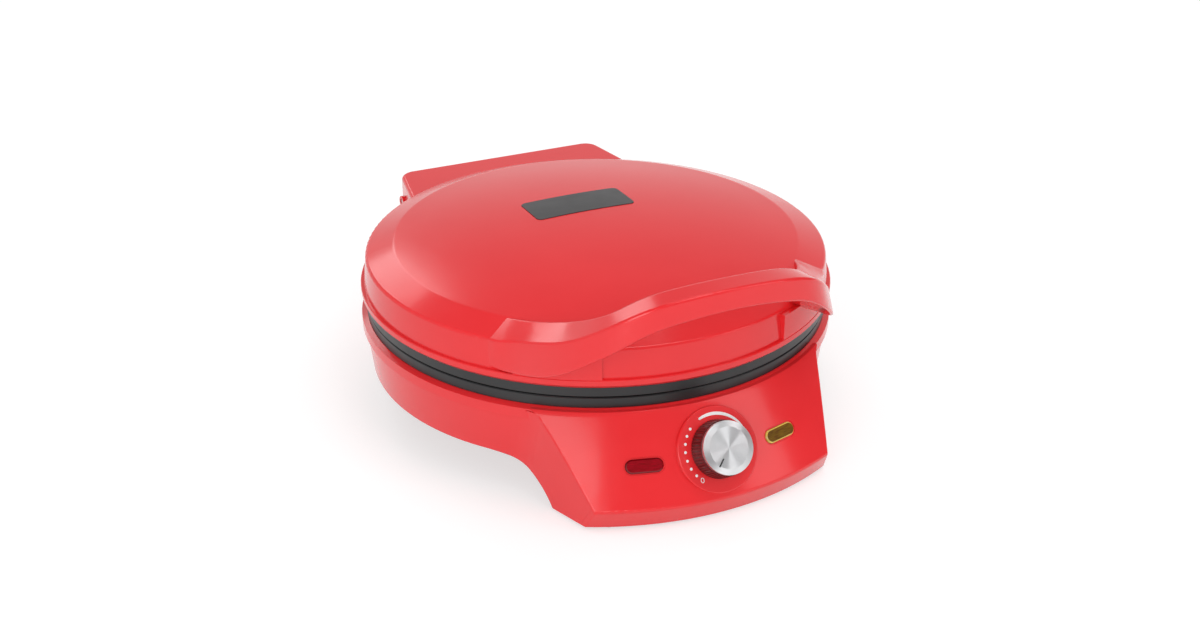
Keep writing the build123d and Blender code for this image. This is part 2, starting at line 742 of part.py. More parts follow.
# Lid cap: dome, bevel, wall, handle, cheeks under the handle's ends and hinge block in one moulding
with BuildPart() as lid_cap:
    add(dome_body(0))
    with BuildSketch(Plane.XY.offset(cap_z)):
        Circle(cap_r + cheek_proud)
        Circle(disc_r, mode=Mode.SUBTRACT)
        with BuildSketch(mode=Mode.INTERSECT):
            for side in (-1, 1):
                with BuildLine():
                    near, far = ring_points(rim_r * 2, (side * cheek_start_deg, side * cheek_end_deg))
                    Polyline((0, 0), near, far, close=True)
                make_face()
    extrude(amount=cap_wall_height - cheek_top_drop)
    add(handle_arch.part)
    add(hinge_block.part)
    add(dome_body(wall), mode=Mode.SUBTRACT)
    with BuildSketch(Plane.XY.offset(block_low_z - 5)):
        with Locations((0, block_front_y)):
            Rectangle(2 * pocket_half, pocket_rear_y - block_front_y, align=(Align.CENTER, Align.MIN))
        Circle(cap_r, mode=Mode.SUBTRACT)
    extrude(amount=pocket_top_z - block_low_z + 5, mode=Mode.SUBTRACT)
    with BuildSketch(Plane.XY.offset(block_low_z - 5)):
        with Locations((0, block_front_y)):
            Rectangle(2 * pocket_half, pocket_rear_y - block_front_y, align=(Align.CENTER, Align.MIN))
    extrude(amount=cap_z - block_low_z + 5, mode=Mode.SUBTRACT)
    # posts in the pocket for the two hinge cover screws
    with BuildSketch(Plane.XY.offset(tab_top_z)):
        with Locations((-tab_x, hinge_y), (tab_x, hinge_y)):
            Circle(4.0)
    extrude(amount=pocket_top_z + 1 - tab_top_z)
    with BuildSketch(Plane.XY.offset(tab_top_z)):
        with Locations((-tab_x, hinge_y), (tab_x, hinge_y)):
            Circle(pilot_r)
    extrude(amount=12, mode=Mode.SUBTRACT)
    with BuildSketch(across(-boss_x - 1)):
        with Locations((hinge_y, hinge_z)):
            Circle(pin_r + 0.02)
    extrude(amount=2 * boss_x + 2, mode=Mode.SUBTRACT)
    # channel and pilot holes for the handle's liner
    add(liner_space(0), mode=Mode.SUBTRACT)
    with BuildSketch(Plane.XY.offset(rim_z + liner_end_rise)):
        with Locations((-liner_screw_x, -liner_screw_y), (liner_screw_x, -liner_screw_y)):
            Circle(pilot_r)
    extrude(amount=15, mode=Mode.SUBTRACT)
    # shallow recess for the nameplate
    add(name_hollow, mode=Mode.SUBTRACT)
lid_cap.part.label = "lid_cap"
export_step(lid_cap.part, "parts/lid_cap.step")

# Nameplate: thin plate with rounded corners, set into a shallow recess of the dome
with BuildPart() as nameplate:
    with BuildSketch(Plane.XY.offset(disc_z)):
        with Locations(name_centre):
            RectangleRounded(2 * name_half_x, name_depth, name_corner)
    extrude(amount=dome_rise + 5)
    add(dome_layer(-name_recess, name_thickness - name_recess), mode=Mode.INTERSECT)
nameplate.part.label = "nameplate"
export_step(nameplate.part, "parts/nameplate.step")

# Handle liner: closes the underside of the bar, flush with it
liner_blank = handle_arch.part.intersect(liner_space(0.15))
with BuildPart() as handle_liner:
    add(liner_blank)
    for side in (-1, 1):
        with BuildSketch(Plane.XY.offset(rim_z)):
            with Locations((side * liner_screw_x, -liner_screw_y)):
                Circle(clear_r)
        extrude(amount=60, mode=Mode.SUBTRACT)
        with BuildSketch(Plane.XY.offset(rim_z)):
            with Locations((side * liner_screw_x, -liner_screw_y)):
                Circle(head_r + 0.2)
        extrude(amount=liner_head_z + head_height - rim_z, mode=Mode.SUBTRACT)
handle_liner.part.label = "handle_liner"
export_step(handle_liner.part, "parts/handle_liner.step")

with BuildPart() as liner_screws:
    for side in (-1, 1):
        place = Plane(origin=(side * liner_screw_x, -liner_screw_y, liner_head_z), x_dir=(1, 0, 0),
                      z_dir=(0, 0, -1))
        add(screw(place, 10))
liner_screws.part.label = "liner_screws"
export_step(liner_screws.part, "parts/liner_screws.step")

# Lid's inner shell: red bead under the cap, shelf over the upper plate and a tongue inside the cap
tongue_r = cap_r - wall - 0.5
with BuildPart() as lid_inner_shell:
    with BuildSketch(Plane.XZ):
        with BuildLine():
            bead_low = seat_z + flange_height - bead_height - 0.5
            Polyline((upper_plate_r - shelf_width, seat_z), (cap_r + 0.2, seat_z), (flange_r, bead_low),
                     (flange_r, cap_z - 0.5), (flange_r - 0.5, cap_z), (tongue_r, cap_z),
                     (tongue_r - 0.4, cap_z + tongue_height), (tongue_r - 2.2, cap_z + tongue_height),
                     (tongue_r - 2.2, tab_top_z), (upper_plate_r - shelf_width, tab_top_z), close=True)
        make_face()
    revolve(axis=Axis.Z)
    # rear tabs for the hinge cover screws
    with BuildSketch(Plane.XY.offset(seat_z)):
        with Locations((-tab_x, rim_r - 4), (tab_x, rim_r - 4)):
            Rectangle(14, hinge_y + 6 - rim_r + 4, align=(Align.CENTER, Align.MIN))
    extrude(amount=shelf_thickness)
    with BuildSketch(Plane.XY.offset(seat_z)):
        with Locations((-tab_x, hinge_y), (tab_x, hinge_y)):
            Circle(clear_r)
        with Locations(*plate_screw_points):
            Circle(clear_r)
    extrude(amount=shelf_thickness, mode=Mode.SUBTRACT)
lid_inner_shell.part.label = "lid_inner_shell"
export_step(lid_inner_shell.part, "parts/lid_inner_shell.step")


def plate_body(outer_r, seat, face, floor, back):
    """Cast plate: rim from its seat to its face, a channel under the rim, a recess and a back."""
    s = 1 if face > seat else -1
    edge = 0.6
    pan_r = recess_r + recess_draft + 1.6
    with BuildPart() as body:
        with BuildSketch(Plane.XZ):
            with BuildLine():
                Polyline((0, back), (pan_r, back), (pan_r, face - s * rim_thickness),
                         (outer_r - rim_thickness, face - s * rim_thickness), (outer_r - rim_thickness, seat),
                         (outer_r - edge, seat), (outer_r, seat + s * edge), (outer_r, face - s * edge),
                         (outer_r - edge, face), (recess_r + recess_draft, face), (recess_r, floor), (0, floor),
                         close=True)
            make_face()
        revolve(axis=Axis.Z)
    return body.part


# Lower baking plate, cast, black: its rim stands on the base's lip
with BuildPart() as lower_plate:
    add(plate_body(lower_plate_r, lip_z, lower_rim_z, lower_floor_z, lower_back_z))
    with BuildSketch(Plane.XY.offset(lower_back_z)):
        with Locations(*pillar_points):
            Circle(boss_radius - 0.5)
    extrude(amount=-lower_boss_length)
    with BuildSketch(Plane.XY.offset(lower_back_z - lower_boss_length)):
        with Locations(*pillar_points):
            Circle(pilot_r)
    extrude(amount=lower_boss_length, mode=Mode.SUBTRACT)
lower_plate.part.label = "lower_plate"
export_step(lower_plate.part, "parts/lower_plate.step")

# Upper baking plate: deeper recess, held up against the inner shell's shelf
with BuildPart() as upper_plate:
    add(plate_body(upper_plate_r, seat_z, upper_rim_z, upper_floor_z, upper_back_z))
    with BuildSketch(Plane.XY.offset(upper_back_z)):
        with Locations(*pillar_points):
            Circle(boss_radius - 0.5)
    extrude(amount=upper_boss_length)
    with BuildSketch(Plane.XY.offset(upper_back_z)):
        with Locations(*pillar_points):
            Circle(pilot_r)
    extrude(amount=upper_boss_length, mode=Mode.SUBTRACT)
    with BuildSketch(Plane.XY.offset(seat_z)):
        with Locations(*plate_screw_points):
            Circle(3.2)
    extrude(amount=-(upper_rim_height - rim_thickness))
    with BuildSketch(Plane.XY.offset(seat_z)):
        with Locations(*plate_screw_points):
            Circle(pilot_r)
    extrude(amount=-6, mode=Mode.SUBTRACT)
upper_plate.part.label = "upper_plate"
export_step(upper_plate.part, "parts/upper_plate.step")


def element(height, front):
    """Bent tube element: a ring with both ends bent outwards into parallel leads."""
    s = -1 if front else 1
    bend_x = lead_spread + lead_bend
    bend_y = sqrt((ring_radius + lead_bend) ** 2 - bend_x**2)
    share = ring_radius / (ring_radius + lead_bend)
    turn = (pi + atan2(bend_y, bend_x)) / 2 + pi / 2
    mid_angle = (pi + (pi + atan2(bend_y, bend_x))) / 2
    mid = (bend_x + lead_bend * cos(mid_angle), bend_y + lead_bend * sin(mid_angle))
    with BuildPart() as tube:
        with BuildLine(Plane.XY.offset(height)) as path:
            for side in (-1, 1):
                Line((side * lead_spread, s * lead_reach), (side * lead_spread, s * bend_y))
                ThreePointArc((side * lead_spread, s * bend_y), (side * mid[0], s * mid[1]),
                              (side * bend_x * share, s * bend_y * share))
            ThreePointArc((-bend_x * share, s * bend_y * share), (0, -s * ring_radius),
                          (bend_x * share, s * bend_y * share))
        with BuildSketch(Plane(origin=(lead_spread, s * lead_reach, height), x_dir=(1, 0, 0), z_dir=(0, -s, 0))):
            Circle(tube_radius)
        sweep(path=path.wires()[0])
        for side in (-1, 1):
            with BuildSketch(Plane(origin=(side * lead_spread, s * lead_reach, height), x_dir=(1, 0, 0),
                                   z_dir=(0, s, 0))):
                Circle(1.4)
            extrude(amount=7)
    return tube.part


clamp_angles = (60, 180, 300)


def clamps(height, back_z, turned):
    """Straps that hold the tube against a plate's back."""
    s = 1 if back_z > height else -1
    strap = 1.0
    with BuildPart() as made:
        for angle in clamp_angles:
            place = upright(angle + turned)
            with BuildSketch(Plane(origin=place.z_dir * -4, x_dir=place.x_dir, z_dir=place.z_dir)):
                inner = tube_radius + 0.2
                outer = inner + strap
                with Locations((ring_radius, height)):
                    Circle(outer)
                with Locations((ring_radius, (height + back_z) / 2)):
                    Rectangle(2 * outer, tube_radius)
                with Locations((ring_radius, back_z - s * strap / 2)):
                    Rectangle(2 * outer + 12, strap)
                with Locations((ring_radius, back_z + s * outer)):
                    Rectangle(2 * outer + 12, 2 * outer, mode=Mode.SUBTRACT)
                with Locations((ring_radius, height)):
                    Circle(inner, mode=Mode.SUBTRACT)
                with Locations((ring_radius, (height + back_z) / 2)):
                    Rectangle(2 * inner, tube_radius, mode=Mode.SUBTRACT)
            extrude(amount=8)
    return made.part


lower_tube_z = lower_back_z - tube_radius
upper_tube_z = upper_back_z + tube_radius
lower_element = element(lower_tube_z, True)
lower_element.label = "lower_element"
export_step(lower_element, "parts/lower_element.step")
upper_element = element(upper_tube_z, False)
upper_element.label = "upper_element"
export_step(upper_element, "parts/upper_element.step")
lower_element_clamps = clamps(lower_tube_z, lower_back_z, 0)
lower_element_clamps.label = "lower_element_clamps"
export_step(lower_element_clamps, "parts/lower_element_clamps.step")
upper_element_clamps = clamps(upper_tube_z, upper_back_z, 180)
upper_element_clamps.label = "upper_element_clamps"
export_step(upper_element_clamps, "parts/upper_element_clamps.step")


def shield(low_z, lip):
    """Thin steel pan; its turned edge points up when lip is positive and down when negative."""
    flat = low_z if lip > 0 else low_z + shield_thickness
    s = 1 if lip > 0 else -1
    with BuildPart() as pan:
        with BuildSketch(Plane.XZ):
            with BuildLine():
                t = shield_thickness * s
                Polyline((0, flat), (shield_radius, flat), (shield_radius, flat + lip),
                         (shield_radius - shield_thickness, flat + lip), (shield_radius - shield_thickness, flat + t),
                         (0, flat + t), close=True)
            make_face()
        revolve(axis=Axis.Z)
        with BuildSketch(Plane.XY.offset(low_z)):
            with Locations(*pillar_points):
                Circle(clear_r)
        extrude(amount=shield_thickness, mode=Mode.SUBTRACT)
    return pan.part


lower_heat_shield = shield(lower_shield_z, shield_lip)
lower_heat_shield.label = "lower_heat_shield"
export_step(lower_heat_shield, "parts/lower_heat_shield.step")
upper_shield_z = upper_back_z + upper_boss_length
upper_heat_shield = shield(upper_shield_z, -3.0)
upper_heat_shield.label = "upper_heat_shield"
export_step(upper_heat_shield, "parts/upper_heat_shield.step")

# Screw sets
with BuildPart() as cover_screws:
    for x, y in pillar_points:
        place = Plane(origin=(x, y, belly_z + 6 - head_height), x_dir=(1, 0, 0), z_dir=(0, 0, -1))
        add(screw(place, lower_back_z - belly_z - 6 - 2))
cover_screws.part.label = "cover_screws"
export_step(cover_screws.part, "parts/cover_screws.step")

with BuildPart() as upper_shield_screws:
    for x, y in pillar_points:
        place = Plane(origin=(x, y, upper_shield_z + shield_thickness + head_height), x_dir=(1, 0, 0),
                      z_dir=(0, 0, 1))
        add(screw(place, head_height + shield_thickness + upper_boss_length - 2))
upper_shield_screws.part.label = "upper_shield_screws"
export_step(upper_shield_screws.part, "parts/upper_shield_screws.step")

with BuildPart() as lid_plate_screws:
    for x, y in plate_screw_points:
        place = Plane(origin=(x, y, tab_top_z + head_height), x_dir=(1, 0, 0), z_dir=(0, 0, 1))
        add(screw(place, head_height + shelf_thickness + 5, head=2.4))
lid_plate_screws.part.label = "lid_plate_screws"
export_step(lid_plate_screws.part, "parts/lid_plate_screws.step")

with BuildPart() as panel_screws:
    for x, y in lug_points:
        place = Plane(origin=(x, y, leg_z), x_dir=(1, 0, 0), z_dir=(0, 0, -1))
        add(screw(place, 9))
panel_screws.part.label = "panel_screws"
export_step(panel_screws.part, "parts/panel_screws.step")

# Rubber feet: disc with a stem and a barb above the cover
for name, points in (("front_feet", front_foot_points), ("rear_feet", rear_foot_points)):
    with BuildPart() as feet:
        with BuildSketch(Plane.XY):
            with Locations(*points):
                Circle(foot_radius)
        extrude(amount=foot_proud)
        with BuildSketch(Plane.XY.offset(foot_proud)):
            with Locations(*points):
                Circle(3)
        extrude(amount=wall + 1.5)
        with BuildSketch(Plane.XY.offset(leg_z + wall)):
            with Locations(*points):
                Circle(4)
        extrude(amount=1.5)
        bottom_edges = feet.edges().group_by(Axis.Z)[0]
        chamfer(bottom_edges, length=0.6)
    feet.part.label = name
    if name == "front_feet":
        export_step(feet.part, "parts/front_feet.step")
    else:
        export_step(feet.part, "parts/rear_feet.step")

# Lamp lenses, lamps and holders
for place, name in zip(lamp_planes, ("power", "ready")):
    with BuildPart() as lens:
        with BuildSketch(place.offset(-3.3)):
            SlotOverall(lens_length, lens_width)
        extrude(amount=3.3 + lens_proud)
        front_edges = lens.faces().sort_by(lambda f: (f.center() - place.origin).dot(place.z_dir))[-1].edges()
        chamfer(front_edges, length=0.8)
        with BuildSketch(place.offset(-4.6)):
            SlotOverall(lens_length + 4, lens_width + 4)
        extrude(amount=1.3)
    with BuildPart() as lamp:
        with BuildSketch(Plane(origin=place.from_local_coords((-7, 0, -11)), x_dir=place.y_dir,
                               z_dir=place.x_dir)):
            Circle(2.6)
        extrude(amount=14)
        fillet(lamp.edges().filter_by(GeomType.CIRCLE), radius=1.5)
    if name == "power":
        lens.part.label, lamp.part.label = "power_lens", "power_lamp"
        export_step(lens.part, "parts/power_lens.step")
        export_step(lamp.part, "parts/power_lamp.step")
    else:
        lens.part.label, lamp.part.label = "ready_lens", "ready_lamp"
        export_step(lens.part, "parts/ready_lens.step")
        export_step(lamp.part, "parts/ready_lamp.step")

with BuildPart() as lamp_holders:
    for place in lamp_planes:
        with BuildSketch(place.offset(-15)):
            SlotOverall(lens_length + 4, lens_width + 4)
        extrude(amount=10.4)
        with BuildSketch(place.offset(-13.6)):
            SlotOverall(lens_length + 1, lens_width + 1)
        extrude(amount=9, mode=Mode.SUBTRACT)
lamp_holders.part.label = "lamp_holders"
export_step(lamp_holders.part, "parts/lamp_holders.step")

# Thermostat behind the dial, its bracket and screws
bracket_low = -post_depth - bracket_thickness
with BuildPart() as thermostat_bracket:
    with BuildSketch(dial_plane.offset(bracket_low)):
        SlotOverall(bracket_length, bracket_width)
        Rectangle(bracket_seat, bracket_seat)
        Circle(thermostat_neck + slip, mode=Mode.SUBTRACT)
        with Locations((-post_x, 0), (post_x, 0)):
            Circle(clear_r, mode=Mode.SUBTRACT)
    extrude(amount=bracket_thickness)
thermostat_bracket.part.label = "thermostat_bracket"
export_step(thermostat_bracket.part, "parts/thermostat_bracket.step")

with BuildPart() as thermostat:
    with BuildSketch(dial_plane.offset(bracket_low - thermostat_depth)):
        Circle(thermostat_radius)
    extrude(amount=thermostat_depth)
    with BuildSketch(dial_plane.offset(bracket_low)):
        Circle(thermostat_neck)
    extrude(amount=4.5)
    with BuildSketch(dial_plane.offset(bracket_low - 10)):
        with Locations((-thermostat_radius - 2.5, 0), (thermostat_radius + 2.5, 0)):
            Rectangle(7, 6)
    extrude(amount=0.8)
    with BuildSketch(dial_plane.offset(bracket_low - 9)):
        Circle(shaft_radius + 0.05)
    extrude(amount=20, mode=Mode.SUBTRACT)
thermostat.part.label = "thermostat"
export_step(thermostat.part, "parts/thermostat.step")

with BuildPart() as thermostat_screws:
    for x in (-post_x, post_x):
        place = Plane(origin=dial_plane.from_local_coords((x, 0, bracket_low - head_height)), x_dir=(1, 0, 0),
                      z_dir=dial_normal * -1)
        add(screw(place, head_height + bracket_thickness + 3.5))
thermostat_screws.part.label = "thermostat_screws"
export_step(thermostat_screws.part, "parts/thermostat_screws.step")

# Knob: ribbed skirt, bevelled aluminium cap with a pointer groove, and the shaft that it turns
skirt_top = knob_height - knob_cap_height
with BuildPart() as thermostat_shaft:
    with BuildSketch(dial_plane.offset(bracket_low - 8.5)):
        Circle(shaft_radius)
    extrude(amount=8.5 - bracket_low + knob_gap + 9)
    with BuildSketch(dial_plane.offset(knob_gap + 1.5)):
        with Locations((0, shaft_radius)):
            Rectangle(8, 2.4)
    extrude(amount=12, mode=Mode.SUBTRACT)
thermostat_shaft.part.label = "thermostat_shaft"
export_step(thermostat_shaft.part, "parts/thermostat_shaft.step")

def ribbed_circle(height, radius):
    """Outline of the knob's skirt at a height, with a groove between each two ribs."""
    with BuildSketch(dial_plane.offset(height)) as outline:
        Circle(radius)
        with PolarLocations(radius + 0.15, knob_ribs):
            Rectangle(1.0, 0.9, mode=Mode.SUBTRACT)
    return outline.sketch


with BuildPart() as knob_body:
    loft([ribbed_circle(knob_gap, knob_radius), ribbed_circle(knob_gap + skirt_top, knob_radius - knob_taper)],
         ruled=True)
    with BuildSketch(dial_plane.offset(knob_gap)):
        Circle(knob_radius - knob_taper - 2.4)
        Circle(5.5, mode=Mode.SUBTRACT)
    extrude(amount=skirt_top - 2.5, mode=Mode.SUBTRACT)
    add(thermostat_shaft.part, mode=Mode.SUBTRACT)
knob_body.part.label = "knob_body"
export_step(knob_body.part, "parts/knob_body.step")

with BuildPart() as knob_cap:
    with BuildSketch(dial_plane.offset(knob_gap + skirt_top)):
        Circle(knob_cap_radius)
    extrude(amount=knob_cap_height)
    cap_top = knob_cap.faces().sort_by(lambda f: (f.center() - dial_centre).dot(dial_normal))[-1]
    chamfer(cap_top.edges(), length=knob_bevel_drop, length2=knob_bevel)
    with BuildSketch(dial_plane.offset(knob_gap + knob_height)):
        with Locations(Location((0, 0, 0), (0, 0, pointer_angle_deg))):
            with Locations((11.2, 0)):
                Rectangle(6.2, 1.1)
    extrude(amount=-0.4, mode=Mode.SUBTRACT)
knob_cap.part.label = "knob_cap"
export_step(knob_cap.part, "parts/knob_cap.step")

# Hinge pins and the cover that closes the hinge block from below
with BuildPart() as hinge_pins:
    for side in (-1, 1):
        with BuildSketch(across(side * (ear_inner_x + 1))):
            with Locations((hinge_y, hinge_z)):
                Circle(pin_r)
        extrude(amount=side * (pin_end_x - ear_inner_x - 1))
    ends = hinge_pins.faces().sort_by(Axis.X)
    chamfer(ends[0].edges() + ends[-1].edges(), length=0.5)
hinge_pins.part.label = "hinge_pins"
export_step(hinge_pins.part, "parts/hinge_pins.step")

guard_r, guard_thickness = 14.2, 2.0
guard_half = ear_inner_x - 4


def around_hinge(radius, angle_deg):
    """Point in the side view at a radius and an angle about the hinge axis."""
    return (hinge_y + radius * cos(radians(angle_deg)), hinge_z + radius * sin(radians(angle_deg)))


with BuildPart() as hinge_under_cover:
    with BuildSketch(across(-guard_half)):
        inner = guard_r - guard_thickness
        start, middle, end = 20.0, -44.0, -108.0
        with BuildLine():
            ThreePointArc(around_hinge(guard_r, start), around_hinge(guard_r, middle), around_hinge(guard_r, end))
            Line(around_hinge(guard_r, end), around_hinge(inner, end))
            ThreePointArc(around_hinge(inner, end), around_hinge(inner, middle), around_hinge(inner, start))
            Line(around_hinge(inner, start), around_hinge(guard_r, start))
        make_face()
    extrude(amount=2 * guard_half)
    pad_low_z = hinge_z - inner - 0.6
    with BuildSketch(Plane.XY.offset(pad_low_z)):
        with Locations((-tab_x, hinge_y), (tab_x, hinge_y)):
            Circle(5)
    extrude(amount=seat_z - pad_low_z)
    guard_head_z = hinge_z - guard_r + 1.0
    with BuildSketch(Plane.XY.offset(hinge_z - guard_r - 1)):
        with Locations((-tab_x, hinge_y), (tab_x, hinge_y)):
            Circle(head_r + 0.3)
    extrude(amount=1 + 1.0 + head_height, mode=Mode.SUBTRACT)
    with BuildSketch(Plane.XY.offset(hinge_z - guard_r - 1)):
        with Locations((-tab_x, hinge_y), (tab_x, hinge_y)):
            Circle(clear_r)
    extrude(amount=12, mode=Mode.SUBTRACT)
hinge_under_cover.part.label = "hinge_under_cover"
export_step(hinge_under_cover.part, "parts/hinge_under_cover.step")

with BuildPart() as hinge_cover_screws:
    for x in (-tab_x, tab_x):
        place = Plane(origin=(x, hinge_y, guard_head_z), x_dir=(1, 0, 0), z_dir=(0, 0, -1))
        add(screw(place, tab_top_z + 9 - guard_head_z))
hinge_cover_screws.part.label = "hinge_cover_screws"
export_step(hinge_cover_screws.part, "parts/hinge_cover_screws.step")

# Cord gland in the rear wall: flange outside, lock ring inside and an open bore
with BuildPart() as cord_gland:
    with BuildSketch(gland_plane):
        Circle(gland_body_r + 3)
    extrude(amount=2.5)
    with BuildSketch(gland_plane.offset(2.5)):
        Circle(gland_body_r + 1)
    extrude(amount=5)
    with BuildSketch(gland_plane):
        Circle(gland_body_r)
    extrude(amount=-wall - 1.2)
    with BuildSketch(gland_plane.offset(-wall - 0.2)):
        Circle(gland_body_r + 1.2)
    extrude(amount=-2)
    outer_rims = cord_gland.faces().sort_by(lambda f: f.center().Y)[-1].edges()
    fillet(outer_rims, radius=1.0)
    with BuildSketch(gland_plane.offset(10)):
        Circle(gland_bore)
    extrude(amount=-20, mode=Mode.SUBTRACT)
cord_gland.part.label = "cord_gland"
export_step(cord_gland.part, "parts/cord_gland.step")

# Thermal fuses lying against the plates' backs, each under a strap
for name, height, back, s in (("lower", lower_back_z, lower_back_z, -1), ("upper", upper_back_z, upper_back_z, 1)):
    with BuildPart() as fuse:
        with BuildSketch(across(-70)):
            with Locations((20, back + s * 2.2)):
                Circle(2.2)
        extrude(amount=14)
        with BuildSketch(Plane(origin=(-66, 20, back), x_dir=(0, 1, 0), z_dir=(1, 0, 0))):
            with Locations((0, s * 2.6)):
                Rectangle(6.4, 5.2)
            with Locations((0, s * 2.2)):
                Circle(2.2, mode=Mode.SUBTRACT)
            with Locations((6, s * 0.5)):
                Rectangle(7, 1)
        extrude(amount=6)
    if name == "lower":
        fuse.part.label = "lower_thermal_fuse"
        export_step(fuse.part, "parts/lower_thermal_fuse.step")
    else:
        fuse.part.label = "upper_thermal_fuse"
        export_step(fuse.part, "parts/upper_thermal_fuse.step")

# Terminal block standing on the cover behind the vents
terminal_top_z = belly_z + wall + terminal_base + terminal_rise
terminal_points = [(terminal_x + step * terminal_pitch, terminal_y) for step in (-1, 0, 1)]
with BuildPart() as terminal_block:
    with BuildSketch(Plane.XY.offset(belly_z + wall)):
        with Locations((terminal_x, terminal_y)):
            Rectangle(terminal_length, terminal_width)
    extrude(amount=terminal_base)
    with BuildSketch(Plane.XY.offset(belly_z + wall + terminal_base)):
        with Locations(*terminal_points):
            Rectangle(terminal_pitch - 3, terminal_width)
    extrude(amount=terminal_rise)
    with BuildSketch(Plane.XY.offset(terminal_top_z)):
        with Locations(*terminal_points):
            Circle(2)
    extrude(amount=-5, mode=Mode.SUBTRACT)
terminal_block.part.label = "terminal_block"
export_step(terminal_block.part, "parts/terminal_block.step")
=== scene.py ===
import json
import math

import bmesh
import bpy
from mathutils import Matrix, Vector


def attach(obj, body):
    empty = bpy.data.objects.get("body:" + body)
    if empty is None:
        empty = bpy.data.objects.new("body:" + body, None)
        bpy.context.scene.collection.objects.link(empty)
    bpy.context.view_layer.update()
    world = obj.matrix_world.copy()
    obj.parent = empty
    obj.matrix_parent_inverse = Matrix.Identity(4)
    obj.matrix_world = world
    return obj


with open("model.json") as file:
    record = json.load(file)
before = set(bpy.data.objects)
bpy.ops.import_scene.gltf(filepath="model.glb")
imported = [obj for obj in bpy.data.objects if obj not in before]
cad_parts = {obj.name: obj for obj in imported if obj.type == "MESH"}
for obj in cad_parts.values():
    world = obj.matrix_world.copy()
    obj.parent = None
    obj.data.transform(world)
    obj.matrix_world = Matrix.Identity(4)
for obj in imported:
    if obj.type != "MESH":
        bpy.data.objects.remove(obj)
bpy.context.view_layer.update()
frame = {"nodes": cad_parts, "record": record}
nodes = frame["nodes"]

# Camera, set by the photograph's ellipses and mirrored points
CAMERA_PLACE = (-0.4583, -1.0001, 0.6084)
RIGHT = Vector((0.9079, -0.4192, 0.0))
UP = Vector((0.1886, 0.4084, 0.8931))
BACK = Vector((-0.3744, -0.8108, 0.4498))
camera_data = bpy.data.cameras.new("camera")
camera_data.sensor_fit = "HORIZONTAL"
camera_data.sensor_width = 36.0
camera_data.lens = 50.1
camera_data.clip_start = 0.05
camera_data.clip_end = 50.0
camera = bpy.data.objects.new("camera", camera_data)
turn = Matrix((RIGHT, UP, BACK)).transposed().to_4x4()
camera.matrix_world = Matrix.Translation(CAMERA_PLACE) @ turn
bpy.context.collection.objects.link(camera)
bpy.context.scene.camera = camera

# The dial's plane on the sloped panel; the knob turns about NORMAL through DIAL
DIAL = Vector((0.0, -0.190248, 0.044048))
TILT = math.radians(32.0)
NORMAL = Vector((0.0, -math.cos(TILT), math.sin(TILT)))
SLOPE_UP = Vector((0.0, math.sin(TILT), math.cos(TILT)))

# The knob's skirt, in metres: radius in its grooves and on its ribs at its foot, and how far the
# ribs lean in for each metre of height; they place the painted shade in the grooves
GROOVE_R, RIB_R = 0.0189, 0.0194
RIB_LEAN = 0.0013 / 0.0122

# Scales of the noise in a finish, and the height of its grain in metres
TONE_SCALE, SMEAR_SCALE = 14.0, 84.0
GRAIN_HEIGHT = 0.00002


# Node helpers
def shader(name):
    """New material; returns it with its tree and its Principled shader."""
    material = bpy.data.materials.new(name)
    material.use_nodes = True
    return material, material.node_tree, material.node_tree.nodes["Principled BSDF"]


def plug(tree, given, socket):
    """Links an output to a socket, or sets the socket to a constant."""
    if isinstance(given, bpy.types.NodeSocket):
        tree.links.new(given, socket)
    else:
        socket.default_value = given


def maths(tree, operation, *values):
    """Number made from numbers."""
    node = tree.nodes.new("ShaderNodeMath")
    node.operation = operation
    for value, socket in zip(values, node.inputs):
        plug(tree, value, socket)
    return node.outputs[0]


def vectors(tree, operation, *values):
    """Vector made from vectors, or the number that a dot product or a length gives."""
    node = tree.nodes.new("ShaderNodeVectorMath")
    node.operation = operation
    for value, socket in zip(values, node.inputs):
        plug(tree, value, socket)
    return node.outputs["Value" if operation in ("DOT_PRODUCT", "LENGTH") else "Vector"]


def remap(tree, value, from_min, from_max, to_min=0.0, to_max=1.0, interpolation="LINEAR"):
    """Takes a value from one range to another, and holds it inside the second."""
    node = tree.nodes.new("ShaderNodeMapRange")
    node.interpolation_type = interpolation
    node.inputs["From Min"].default_value = from_min
    node.inputs["From Max"].default_value = from_max
    node.inputs["To Min"].default_value = to_min
    node.inputs["To Max"].default_value = to_max
    tree.links.new(value, node.inputs["Value"])
    return node.outputs["Result"]


def noise(tree, scale, detail=3.0, stretch=(1, 1, 1)):
    """Noise over the object's own coordinates, in metres."""
    place = tree.nodes.new("ShaderNodeTexCoord")
    mapping = tree.nodes.new("ShaderNodeMapping")
    mapping.inputs["Scale"].default_value = stretch
    made = tree.nodes.new("ShaderNodeTexNoise")
    made.inputs["Scale"].default_value = scale
    made.inputs["Detail"].default_value = detail
    tree.links.new(place.outputs["Object"], mapping.inputs["Vector"])
    tree.links.new(mapping.outputs["Vector"], made.inputs["Vector"])
    return made.outputs["Fac"]


def spread(tree, fac, low=0.0, high=1.0):
    """Stretches a noise value, most of which lies from 0.3 to 0.7, to a range."""
    return remap(tree, fac, 0.3, 0.7, low, high)


def mix(tree, fac, low, high):
    """Number between two others."""
    node = tree.nodes.new("ShaderNodeMix")
    tree.links.new(fac, node.inputs["Factor"])
    plug(tree, low, node.inputs[2])
    plug(tree, high, node.inputs[3])
    return node.outputs[0]


def two_tone(tree, fac, dark, light):
    """Colour between two tones, each of which is an output or a red, green and blue."""
    node = tree.nodes.new("ShaderNodeMix")
    node.data_type = "RGBA"
    tree.links.new(fac, node.inputs["Factor"])
    for tone, socket in ((dark, node.inputs[6]), (light, node.inputs[7])):
        plug(tree, (*tone, 1) if isinstance(tone, tuple) else tone, socket)
    return node.outputs[2]


